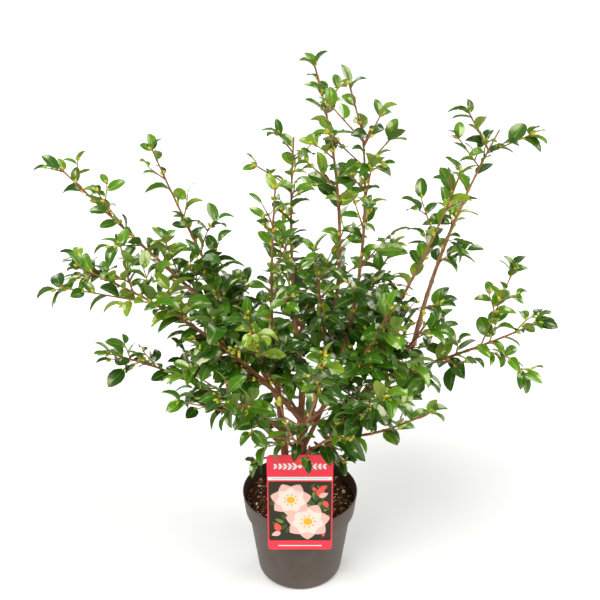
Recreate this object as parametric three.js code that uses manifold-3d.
// A camellia shrub in a round nursery pot. Millimetres, +Z up, the label card faces -Y.
// The origin is the middle of the pot's flat underside.
import * as THREE from "three";
import { mergeVertices } from "three/addons/utils/BufferGeometryUtils.js";
import Module from "manifold-3d";

const wasm = await Module();
wasm.setup();

// ---- driving sizes ----
const GAP = 0.3; // clearance between neighbouring solids
const ROUND = 28; // sides of the pot and of the soil

const pot = {
  base: 69, shoulder: 84, collar: 90, rim: 94, // outer radii from the foot up
  collarZ: 113, stepZ: 118, height: 154,
  wall: 1.8, floor: 3, corner: 8,
  notches: 6, notchWidth: 28, notchHeight: 2.5, notchDepth: 14,
};
const soil = { top: 134, level: 60, edge: 131 }; // level: radius of the flat middle
const card = {
  width: 100, bottom: 109, top: 287, corner: 6, front: -97.2, thick: 1.2,
  tongue: 30, tongueY: -86.6,
};

// limbs: sides of each kind, and the root flare as a share of the radius and of the height
const STEM_SIDES = 8;
const BOUGH_SIDES = 6;
const TWIG_SIDES = 3;
const STEM_SECTIONS = 7;
const BOUGH_SECTIONS = 4;
const FLARE = 0.75;
const FLARE_HEIGHT = 0.09;
const LEVEL_STEPS = 1.7; // above 1 crowds a stem's sections towards its foot

// radii of the thin wood
const SPRAY_RADIUS = 2.8; // of a spray's leader at its foot
const LEADER_TIP = 1.9;
const TWIG_RADIUS = 1.1;
const TIP_RADIUS = 1.0;

// a leaf: its width and widest place are shares of its length
const leaf = { length: 47, width: 0.58, thick: 1.4, fold: 3.4, droop: 5, widest: 0.45 };
const HEART = 1.4; // leaves deep in the crown are this much larger than those at its tips
const BLADE = [[0.14, 0.5], [0.3, 0.9], [0.45, 1], [0.64, 0.7], [0.82, 0.36], [1, 0]];

// growth: distances between leaves and joints, and the pull of each direction on a shoot
const LEAF_GAP = 36; // along a twig
const NODE_GAP = 31; // along a leader
const FIRST_NODE = 14;
const BARE_TIP = 12;
const SINK = 3.5; // how far back from a tip its last leaf is rooted
const LEADER_STEP = 95; // length of the straight stretches of a leader
const SHORTEST_TWIG = 26;
const TWIG_TAPER = 0.6; // how much shorter twigs get along a leader
const TWIG_PULL = { along: 0.7, out: 0.85, up: 0.12 };
const LEAF_OUT = 0.8;
const TURN = 2.4; // radians from one joint to the next
const FIRST_SEED = 5;
const SEEDS = 17; // seeds set aside for each mass, one to a branch

// room: how far a mass stays inside its own space, from limbs, leaf to leaf and from the pot
const SPACE = 2;
const CLEAR = 1.6;
const ELBOW = 4.5;
const AIR = 6;
const TRIALS = [1, 0.7, 0.45]; // shares of its length a crowded twig is cut back to
const TURNS = [0, 0.8, -0.8, 1.6, -1.6, 2.4, -2.4, 3.1]; // turns tried where there is no room

// stems: foot on the soil, tip, bow at the middle, radius at foot and tip
const stems = [
  { name: "stem_left", foot: [-17, 4], tip: [-39, 20, 378], bow: [0, 0, 0], r: [7, 4.6] },
  { name: "stem_middle", foot: [3, -10], tip: [2, -24, 300], bow: [2, -3, 0], r: [8, 6.2] },
  { name: "stem_right", foot: [17, 8], tip: [182, 68, 385], bow: [-30, -10, 8], r: [8, 4.2] },
  { name: "stem_back", foot: [-2, 20], tip: [4, 60, 330], bow: [0, -3, 0], r: [6.5, 5] },
];

// shoots: a bough from a stem, bare for part of its length, then a mass of foliage to the tip;
// its forks are long twigs, each a share of the way along the foliage and a tip
const shoots = [
  { name: "left_low", from: "stem_middle", at: 1, tip: [-299, -90, 587], bow: [20, -2, 19],
    girth: 3.8, bare: 0.3, reach: 90,
    forks: [[0.62, -313, -115, 568], [0.84, -306, -60, 590], [0.74, -243, -80, 614]] },
  { name: "right_middle", from: "stem_middle", at: 0.9, tip: [204, -110, 726], bow: [16, -14, -11],
    girth: 3.6, bare: 0.3, reach: 85, forks: [] },
  { name: "tallest", from: "stem_middle", at: 0.8, tip: [20, 25, 835], bow: [46, 14, -4],
    girth: 4, bare: 0.32, reach: 75, forks: [[0.56, 10, 0, 708], [0.85, 53, 50, 800]] },
  { name: "middle_right", from: "stem_middle", at: 0.68, tip: [79, -60, 789], bow: [37, -3, -4],
    girth: 3.8, bare: 0.36, reach: 80,
    forks: [[0.93, 62, -75, 832], [0.9, 42, -30, 793], [0.8, 35, -95, 775], [0.88, 105, -45, 784],
      [0.8, 121, -30, 749], [0.66, 91, -105, 731], [0.55, 94, -100, 683]] },
  { name: "left_high", from: "stem_left", at: 1, tip: [-356, 80, 675], bow: [-5, 16, -9],
    girth: 3.8, bare: 0.2, reach: 90, forks: [[0.62, -305, 85, 635], [0.3, -200, 40, 572]] },
  { name: "left_top", from: "stem_left", at: 0.72, tip: [-228, 145, 684], bow: [-9, 37, -17],
    girth: 3.4, bare: 0.3, reach: 70, forks: [[0.32, -132, 160, 528]] },
  { name: "middle_left", from: "stem_left", at: 0.6, tip: [-33, -70, 691], bow: [-9, -16, -3],
    girth: 3.4, bare: 0.25, reach: 85, forks: [] },
  { name: "left_foot", from: "stem_left", at: 0.36, tip: [-286, -20, 416], bow: [26, -11, 26],
    girth: 3, bare: 0.4, reach: 65, forks: [] },
  { name: "right_high", from: "stem_right", at: 1, tip: [296, 105, 726], bow: [-12, 4, 0],
    girth: 4, bare: 0.36, reach: 70,
    forks: [[0.86, 248, 100, 753], [0.84, 336, 80, 725], [0.74, 242, 140, 704]] },
  { name: "right_low", from: "stem_right", at: 0.78, tip: [342, -55, 486], bow: [-6, -14, 0],
    girth: 3, bare: 0.2, reach: 75, forks: [[0.6, 307, -20, 552], [0.68, 327, -75, 413]] },
  { name: "right_foot", from: "stem_right", at: 0.42, tip: [183, -135, 386], bow: [-14, -20, -6],
    girth: 2.8, bare: 0.45, reach: 60, forks: [] },
  { name: "middle_back", from: "stem_back", at: 1, tip: [-9, 95, 718], bow: [-10, 2, 0],
    girth: 3.6, bare: 0.25, reach: 80,
    forks: [[0.74, -63, 60, 684], [0.92, -31, 110, 717], [0.68, 20, 130, 633]] },
  { name: "back_right", from: "stem_back", at: 0.88, tip: [156, 180, 509], bow: [1, -8, 4],
    girth: 3, bare: 0.25, reach: 80, forks: [] },
];

// sprays: masses that spring straight from the side of a stem or bough
const sprays = [
  { name: "left_front", from: "stem_middle", at: 0.6, tip: [-169, -130, 399], bow: [10, 4, 14],
    reach: 70 },
  { name: "front_high", from: "stem_middle", at: 0.96, tip: [27, -290, 560], bow: [0, -10, -22],
    reach: 85 },
  { name: "front_middle", from: "stem_middle", at: 0.76, tip: [-25, -255, 475], bow: [0, -10, -15],
    reach: 75 },
  { name: "front_low", from: "stem_middle", at: 0.56, tip: [70, -200, 385], bow: [0, -5, 18],
    reach: 60 },
  { name: "front_left", from: "stem_left", at: 0.5, tip: [-105, -215, 455], bow: [0, 0, 10],
    reach: 75 },
  { name: "front_right", from: "stem_right", at: 0.5, tip: [112, -225, 464], bow: [0, 0, 10],
    reach: 75 },
  { name: "back_left", from: "stem_back", at: 0.65, tip: [-170, 260, 420], bow: [0, 0, 15],
    reach: 85 },
  { name: "back_low", from: "stem_back", at: 0.45, tip: [80, 255, 370], bow: [0, 0, 10],
    reach: 80 },
  { name: "back_middle", from: "stem_back", at: 0.8, tip: [-30, 270, 540], bow: [0, 0, -15],
    reach: 90 },
  { name: "heart_left", from: "bough_left_low", at: 0.7, tip: [-150, -75, 470], bow: [0, 0, -8],
    reach: 80 },
  { name: "heart_front", from: "bough_middle_left", at: 0.75, tip: [-70, -150, 545], bow: [0, -8, -8],
    reach: 80 },
  { name: "heart_middle", from: "bough_tallest", at: 0.75, tip: [20, -60, 600], bow: [0, 0, 0],
    reach: 80 },
  { name: "heart_right", from: "bough_right_middle", at: 0.75, tip: [120, -130, 545], bow: [0, -8, -8],
    reach: 80 },
  { name: "heart_back", from: "bough_middle_back", at: 0.7, tip: [70, 130, 560], bow: [0, 8, -8],
    reach: 80 },
  { name: "side_right", from: "stem_right", at: 0.9, tip: [200, -30, 500], bow: [0, 0, -6],
    reach: 75 },
  { name: "side_left", from: "bough_left_top", at: 0.8, tip: [-140, 130, 480], bow: [0, 8, -8],
    reach: 75 },
  { name: "low_right", from: "stem_right", at: 0.62, tip: [190, 40, 330], bow: [0, 0, 8],
    reach: 70 },
  { name: "low_left", from: "stem_left", at: 0.42, tip: [-175, 70, 330], bow: [0, 0, 8],
    reach: 70 },
  { name: "rim_left", from: "stem_left", at: 0.3, tip: [-66, -78, 262], bow: [0, 0, 6],
    reach: 40 },
  { name: "rim_front", from: "stem_middle", at: 0.42, tip: [8, -127, 302], bow: [8, 0, 32],
    reach: 45 },
  { name: "rim_right", from: "stem_right", at: 0.25, tip: [68, -80, 262], bow: [0, 0, 6],
    reach: 40 },
];

// ---- materials ----
const colours = {
  pot: 0x645953, soil: 0x3a2a20, card: 0xe23a50, stem: 0x7a5238, bough: 0x7d4f35,
  tanBough: 0x9a7350, foliage: 0x3f7d2c, deepFoliage: 0x2f6a27, paleFoliage: 0x5a9440,
};
const foliageColours = [colours.foliage, colours.deepFoliage, colours.paleFoliage];

// ---- helpers ----
const UP = new THREE.Vector3(0, 0, 1);
const ALONG_X = new THREE.Vector3(1, 0, 0);
const vec = (list) => new THREE.Vector3(...list);
const mix = (a, b, share) => a + (b - a) * share;

// a repeatable stream of numbers from 0 to 1
function stream(seed) {
  let state = Math.imul(seed + 1, 2654435761) >>> 0;
  return () => {
    state = (Math.imul(state, 1664525) + 1013904223) >>> 0;
    return state / 2 ** 32;
  };
}

function toSolid(geometry) {
  const bare = geometry.clone();
  bare.deleteAttribute("normal");
  bare.deleteAttribute("uv");
  const joined = mergeVertices(bare, 1e-3);
  return new wasm.Manifold(new wasm.Mesh({
    numProp: 3,
    vertProperties: new Float32Array(joined.attributes.position.array),
    triVerts: new Uint32Array(joined.index.array),
  }));
}

function toMesh(name, solid, color, roughness = 0.6) {
  const raw = solid.getMesh();
  const geometry = new THREE.BufferGeometry();
  geometry.setAttribute("position", new THREE.BufferAttribute(raw.vertProperties, 3));
  geometry.setIndex(new THREE.BufferAttribute(raw.triVerts, 1));
  geometry.computeVertexNormals();
  const mesh = new THREE.Mesh(geometry, new THREE.MeshStandardMaterial({ color, roughness }));
  mesh.name = name;
  return mesh;
}

// the biggest body of a solid: scraps are dropped and sealed hollows filled
function biggest(solid) {
  return solid.decompose().reduce((a, b) => (a.volume() > b.volume() ? a : b));
}

const union = (solids) => solids.reduce((all, one) => all.add(one));

// ---- curves ----
// a limb's curve passes its bow away from the middle of the straight line foot to tip
function bowed(foot, tip, bow) {
  const middle = foot.clone().add(tip).multiplyScalar(0.5).addScaledVector(bow, 2);
  return new THREE.QuadraticBezierCurve3(foot, middle, tip);
}

// the stretch of a curve between two shares of it, which may run past its end
function stretchOf(curve, from, to) {
  const foot = curve.getPoint(from);
  const slope = curve.v0.clone().multiplyScalar(from - 1)
    .addScaledVector(curve.v1, 1 - 2 * from).addScaledVector(curve.v2, from);
  return new THREE.QuadraticBezierCurve3(foot, foot.clone().addScaledVector(slope, to - from),
    curve.getPoint(to));
}

// two directions square to the curve at a share of its length, the first one level
function across(curve, share) {
  const along = curve.getTangent(share);
  const chord = curve.getPoint(1).sub(curve.getPoint(0));
  const level = new THREE.Vector3(-chord.y, chord.x, 0);
  const side = level.length() < 1 ? ALONG_X.clone() : level.normalize();
  side.addScaledVector(along, -side.dot(along)).normalize();
  return { along, side, over: side.clone().cross(along) };
}

// ---- limbs ----
// a bent, tapering round; upright ones keep every section level, so the foot is a flat cut
function limb(curve, radius, sides, sections, upright = false) {
  const geometry = new THREE.CylinderGeometry(1, 1, 1, sides, sections);
  const place = geometry.attributes.position;
  for (let i = 0; i < place.count; i++) {
    const height = place.getY(i) + 0.5;
    const share = upright ? height ** LEVEL_STEPS : height;
    const { side, over } = upright
      ? { side: ALONG_X, over: new THREE.Vector3(0, -1, 0) }
      : across(curve, share);
    const point = curve.getPoint(share)
      .addScaledVector(side, place.getX(i) * radius(share))
      .addScaledVector(over, place.getZ(i) * radius(share));
    place.setXYZ(i, point.x, point.y, point.z);
  }
  return toSolid(geometry);
}

const stemRadius = ([foot, tip]) => (share) =>
  mix(foot, tip, share) * (1 + FLARE * Math.exp(-share / FLARE_HEIGHT));

const POLY = 16; // straight steps used to measure distances to a curve
const polyline = (curve) => curve.getPoints(POLY);

// the distance from a point to a line of straight steps, and the share of the line there
function toLine(point, line) {
  let least = Infinity;
  let step = 0;
  const chord = new THREE.Vector3();
  const offset = new THREE.Vector3();
  for (let i = 0; i + 1 < line.length; i++) {
    chord.subVectors(line[i + 1], line[i]);
    offset.subVectors(point, line[i]);
    const share = THREE.MathUtils.clamp(offset.dot(chord) / chord.lengthSq(), 0, 1);
    const distance = offset.addScaledVector(chord, -share).length();
    if (distance < least) [least, step] = [distance, (i + share) / (line.length - 1)];
  }
  return { distance: least, share: step };
}

const limbs = new Map(); // every stem and bough: curve, radius, solid and its swollen twin

// a limb is cut back from the limbs before it, so it starts at their bark
function addLimb(name, curve, radius, sides, sections, upright) {
  const swell = GAP / Math.cos(Math.PI / sides) + 0.05;
  let solid = limb(curve, radius, sides, sections, upright);
  const longer = stretchOf(curve, 0, 1 + GAP / curve.getLength());
  const swollen = limb(longer, (share) => radius(share) + swell, sides, sections, upright);
  for (const other of limbs.values()) solid = solid.subtract(other.swollen);
  limbs.set(name, { curve, radius, solid: biggest(solid), swollen, line: polyline(curve) });
}

// ---- growth ----
const masses = [];

// out from a curve at a share of its length, turned about it
function outward(curve, share, turn) {
  const { side, over } = across(curve, share);
  return side.multiplyScalar(Math.cos(turn)).addScaledVector(over, Math.sin(turn));
}

// the direction of a weighted sum of directions
function steer(...pairs) {
  const sum = new THREE.Vector3();
  for (const [direction, weight] of pairs) sum.addScaledVector(direction, weight);
  return sum.normalize();
}

// true where a mass's own leaders are nearer than any other mass's
function inOwnSpace(point, mass) {
  const own = Math.min(...mass.lines.map((line) => toLine(point, line).distance));
  return masses.every((other) =>
    other === mass || other.lines.every((line) => toLine(point, line).distance > own + SPACE));
}

function clearOfLimbs(point) {
  for (const { line, radius } of limbs.values()) {
    const { distance, share } = toLine(point, line);
    if (distance < radius(share) + CLEAR) return false;
  }
  return true;
}

// the pot, its soil and the card keep a little air around them too
function clearOfPot(point) {
  const out = Math.hypot(point.x, point.y);
  if (out < pot.rim + AIR && point.z < pot.height + AIR) return false;
  const beside = Math.abs(point.x) > card.width / 2 + AIR || Math.abs(point.y - card.front) > AIR;
  return beside || point.z > card.top + AIR;
}

const fits = (points, mass) =>
  points.every((p) => clearOfPot(p) && clearOfLimbs(p) && inOwnSpace(p, mass));

// points spread over a leaf: its outline, BLADE, holds pairs of a place along it and a half width
function leafPoints({ root, along, face, length }) {
  const beside = along.clone().cross(face);
  const points = [];
  for (const [reach, half] of BLADE) {
    const drop = leaf.droop * Math.max(0, (reach - leaf.widest) / (1 - leaf.widest));
    for (const way of [-1, 0, 1]) {
      points.push(root.clone().addScaledVector(along, reach * length)
        .addScaledVector(beside, (way * half * leaf.width * length) / 2)
        .addScaledVector(face, Math.abs(way) * half * leaf.fold - drop));
    }
  }
  return points;
}

// true where a leaf would come within ELBOW of another leaf of its mass
function crowded(points, mass) {
  return mass.leaves.some((other) => other.points.some((p) =>
    points.some((q) => p.distanceToSquared(q) < ELBOW * ELBOW)));
}

// a leaf leans out from the axis it grows on, at the first turn about it that has room
function setLeaf(mass, { root, axis, out, lean, lift, size, roll }) {
  for (const turn of TURNS) {
    const away = out.clone().applyAxisAngle(axis, turn);
    const along = steer([axis, lean], [away, LEAF_OUT], [UP, lift]);
    const face = UP.clone().addScaledVector(along, -along.z).normalize();
    face.applyAxisAngle(along, roll);
    const blade = { root, along, face, length: leaf.length * size };
    blade.points = leafPoints(blade);
    if (!fits(blade.points, mass) || crowded(blade.points, mass)) continue;
    mass.leaves.push(blade);
    return;
  }
}

// leaves by turns on either side of a straight twig, and one at its end
function leafTwig(mass, { root, along, length }, heart, draw) {
  const level = new THREE.Vector3().crossVectors(along, UP).normalize();
  const at = (s) => root.clone().addScaledVector(along, s);
  let way = draw() < 0.5 ? -1 : 1;
  for (let s = LEAF_GAP * 0.7; s < length - LEAF_GAP * 0.45; s += LEAF_GAP) {
    const out = level.clone().multiplyScalar(way).applyAxisAngle(along, 1.6 * draw() - 0.8);
    setLeaf(mass, { root: at(s), axis: along, out, lean: 0.65, lift: 0.35 * draw() - 0.2,
      size: heart * (0.82 + 0.3 * draw()), roll: 1.2 * draw() - 0.6 });
    way = -way;
  }
  setLeaf(mass, { root: at(length - SINK), axis: along, out: level.multiplyScalar(way),
    lean: 1.5 + 2 * draw(), lift: 0.5 * draw() - 0.3, size: heart * (0.8 + 0.3 * draw()),
    roll: 1.4 * draw() - 0.7 });
}

// points along the part of a twig that has left its leader
function twigPoints({ root, along, length }) {
  return [0.2, 0.4, 0.6, 0.8, 1].map((part) =>
    root.clone().addScaledVector(along, mix(FIRST_NODE / 2, length, part)));
}

// a side twig grows at the first turn with room, or cut back where there is none
function setTwig(mass, { root, axis, out, length }, heart, draw) {
  for (const share of TRIALS) {
    for (const turn of TURNS) {
      const away = out.clone().applyAxisAngle(axis, turn);
      const along = steer([axis, TWIG_PULL.along], [away, TWIG_PULL.out], [UP, TWIG_PULL.up]);
      const twig = { root, along, length: length * share };
      if (twig.length < SHORTEST_TWIG) return false;
      if (!fits(twigPoints(twig), mass)) continue;
      mass.twigs.push(twig);
      leafTwig(mass, twig, heart, draw);
      return true;
    }
  }
  return false;
}

// a leader's joints carry a side twig and a leaf by turns, and its tip a pair of leaves
function growAlong(mass, branch, seed) {
  const draw = stream(seed);
  const { curve, reach } = branch;
  const length = curve.getLength();
  let turn = 2 * Math.PI * draw();
  let joint = 0;
  for (let s = branch.first; s < length - BARE_TIP; s += NODE_GAP * (0.85 + 0.3 * draw())) {
    const share = s / length;
    const root = curve.getPoint(share);
    const axis = curve.getTangent(share);
    const out = outward(curve, share, turn);
    const heart = mix(branch.heart, 1, share);
    const drawTwig = stream(seed * 101 + joint);
    const twig = { root, axis, out, length: reach * (1 - TWIG_TAPER * share) * (0.65 + 0.45 * drawTwig()) };
    if (joint % 2 > 0 || !setTwig(mass, twig, heart, drawTwig)) {
      setLeaf(mass, { root, axis, out, lean: 0.55, lift: 0.3 * drawTwig() - 0.15,
        size: heart * (0.82 + 0.3 * drawTwig()), roll: 1.2 * drawTwig() - 0.6 });
    }
    turn += TURN;
    joint += 1;
  }
  for (const way of [0, Math.PI]) {
    setLeaf(mass, { root: curve.getPoint(1 - SINK / length), axis: curve.getTangent(1),
      out: outward(curve, 1, turn + way), lean: 1.2, lift: 0, size: 0.7 + 0.25 * draw(),
      roll: draw() - 0.5 });
  }
}

// ---- solids of a mass ----
// an octahedron drawn out into a pointed blade, folded up along its midrib, with a drooping tip
function leafSolid({ root, along, face, length }) {
  const geometry = new THREE.OctahedronGeometry(1);
  const beside = along.clone().cross(face);
  const place = geometry.attributes.position;
  for (let i = 0; i < place.count; i++) {
    const [x, y, z] = [place.getX(i), place.getY(i), place.getZ(i)];
    const reach = leaf.widest + (y < 0 ? leaf.widest : 1 - leaf.widest) * y;
    const point = root.clone().addScaledVector(along, reach * length)
      .addScaledVector(beside, (x * leaf.width * length) / 2)
      .addScaledVector(face, (z * leaf.thick) / 2 + Math.abs(x) * leaf.fold
        - Math.max(y, 0) * leaf.droop);
    place.setXYZ(i, point.x, point.y, point.z);
  }
  return toSolid(geometry);
}

function twigSolid({ root, along, length }) {
  const curve = new THREE.LineCurve3(root, root.clone().addScaledVector(along, length));
  return limb(curve, (share) => mix(TWIG_RADIUS, TIP_RADIUS, share), TWIG_SIDES, 1);
}

// leaders, twigs and leaves fused, and cut back from the stems and boughs
function massSolid(mass) {
  const stalks = mass.branches.map(({ curve, radius }) =>
    limb(curve, radius, TWIG_SIDES, Math.ceil(curve.getLength() / LEADER_STEP)));
  let body = union([...stalks, ...mass.twigs.map(twigSolid), ...mass.leaves.map(leafSolid)]);
  for (const { swollen } of limbs.values()) body = body.subtract(swollen);
  return biggest(body);
}

// ---- pot, soil and card ----
const turned = (profile) => new THREE.LatheGeometry(profile, ROUND).rotateX(Math.PI / 2);

function potSolid() {
  const { base, shoulder, collar, rim, collarZ, stepZ, height, wall, floor, corner } = pot;
  const bend = (angle) => new THREE.Vector2(base - corner * (1 - Math.sin(angle)),
    corner * (1 - Math.cos(angle)));
  const profile = [
    new THREE.Vector2(0, 0), bend(0), bend(Math.PI / 6), bend(Math.PI / 3),
    new THREE.Vector2(base + 1, corner),
    new THREE.Vector2(shoulder, collarZ), new THREE.Vector2(collar, stepZ),
    new THREE.Vector2(rim, height), new THREE.Vector2(rim - wall, height),
    new THREE.Vector2(collar - wall, stepZ + wall), new THREE.Vector2(shoulder - wall, collarZ + wall),
    new THREE.Vector2(base + 1 - wall, corner), new THREE.Vector2(base - corner, floor),
    new THREE.Vector2(0, floor),
  ];
  let solid = toSolid(turned(profile));
  for (let i = 0; i < pot.notches; i++) {
    const notch = new THREE.BoxGeometry(pot.notchWidth, pot.notchDepth, 2 * pot.notchHeight);
    notch.translate(0, -(base - 2), 0).rotateZ((2 * Math.PI * i) / pot.notches);
    solid = solid.subtract(toSolid(notch));
  }
  return biggest(solid);
}

function soilSolid() {
  const { base, shoulder, collar, rim, collarZ, stepZ, height, wall, floor, corner } = pot;
  const inset = wall + GAP + 0.1;
  const edgeRadius = mix(collar, rim, (soil.edge - stepZ) / (height - stepZ)) - inset;
  const profile = [
    [0, floor + GAP], [base - corner - 1, floor + GAP], [base + 1 - inset, corner + GAP],
    [shoulder - inset, collarZ + wall + GAP], [collar - inset, stepZ + wall + GAP],
    [edgeRadius, soil.edge], [soil.level, soil.top], [0, soil.top],
  ].map(([x, y]) => new THREE.Vector2(x, y));
  return toSolid(turned(profile));
}

function cardSolid() {
  const { width, bottom, top, corner, front, thick, tongue, tongueY } = card;
  const half = width / 2 - corner;
  const outline = new THREE.Shape();
  outline.absarc(half, top - corner, corner, 0, Math.PI / 2);
  outline.absarc(-half, top - corner, corner, Math.PI / 2, Math.PI);
  outline.absarc(-half, bottom + corner, corner, Math.PI, 1.5 * Math.PI);
  outline.absarc(half, bottom + corner, corner, 1.5 * Math.PI, 2 * Math.PI);
  const sheet = new THREE.ExtrudeGeometry(outline,
    { depth: thick, bevelEnabled: false, curveSegments: 4 });
  sheet.rotateX(Math.PI / 2).translate(0, front + thick, 0);

  // the tongue goes over the rim and down inside the pot
  const over = pot.height + GAP;
  const start = front + thick / 2;
  const hook = new THREE.Shape([
    [start, over], [tongueY - thick, over], [tongueY - thick, soil.edge + 2], [tongueY, soil.edge + 2],
    [tongueY, over + thick], [start, over + thick],
  ].map(([y, z]) => new THREE.Vector2(y, z)));
  const strap = new THREE.ExtrudeGeometry(hook, { depth: tongue, bevelEnabled: false });
  strap.applyMatrix4(new THREE.Matrix4().set(
    0, 0, 1, -tongue / 2, 1, 0, 0, 0, 0, 1, 0, 0, 0, 0, 0, 1));
  return toSolid(sheet).add(toSolid(strap));
}

// ---- assembly ----
// a mass holds a leader and its forks, which share its space
function addMass({ name, reach, forks = [] }, leader, radius, first) {
  const branches = [{ curve: leader, radius, reach, first, heart: HEART }];
  for (const [at, ...tip] of forks) {
    const curve = bowed(leader.getPoint(at), vec(tip), new THREE.Vector3());
    branches.push({ curve, reach: 0, first: FIRST_NODE, heart: 1,
      radius: (share) => mix(TWIG_RADIUS, TIP_RADIUS, share) });
  }
  masses.push({ name: "foliage_" + name, branches, twigs: [], leaves: [],
    lines: branches.map(({ curve }) => polyline(curve)) });
}

for (const { name, foot, tip, bow, r } of stems) {
  const curve = bowed(vec([...foot, soil.top + GAP]), vec(tip), vec(bow));
  addLimb(name, curve, stemRadius(r), STEM_SIDES, STEM_SECTIONS, true);
}

for (const shoot of shoots) {
  const foot = limbs.get(shoot.from).curve.getPoint(shoot.at);
  const whole = bowed(foot, vec(shoot.tip), vec(shoot.bow));
  const girth = (share) => mix(shoot.girth, LEADER_TIP, share);
  const { bare } = shoot;
  addLimb("bough_" + shoot.name, stretchOf(whole, 0, bare), (share) => girth(share * bare),
    BOUGH_SIDES, BOUGH_SECTIONS);
  const begin = bare + GAP / whole.getLength();
  addMass(shoot, stretchOf(whole, begin, 1), (share) => girth(mix(begin, 1, share)), FIRST_NODE);
}

for (const spray of sprays) {
  const parent = limbs.get(spray.from);
  const leader = bowed(parent.curve.getPoint(spray.at), vec(spray.tip), vec(spray.bow));
  addMass(spray, leader, (share) => mix(SPRAY_RADIUS, LEADER_TIP, share),
    parent.radius(spray.at) + FIRST_NODE);
}

masses.forEach((mass, index) =>
  mass.branches.forEach((branch, fork) => growAlong(mass, branch, SEEDS * index + fork + FIRST_SEED)));

const group = new THREE.Group();
group.add(toMesh("pot", potSolid(), colours.pot, 0.55));
group.add(toMesh("soil", soilSolid(), colours.soil, 0.95));
group.add(toMesh("label", cardSolid(), colours.card, 0.35));
for (const [name, { solid }] of limbs) {
  const color = name.startsWith("stem") ? colours.stem
    : name === "bough_right_high" ? colours.tanBough : colours.bough;
  group.add(toMesh(name, solid, color, 0.8));
}
masses.forEach((mass, index) =>
  group.add(toMesh(mass.name, massSolid(mass), foliageColours[index % 3], 0.45)));

export default group;
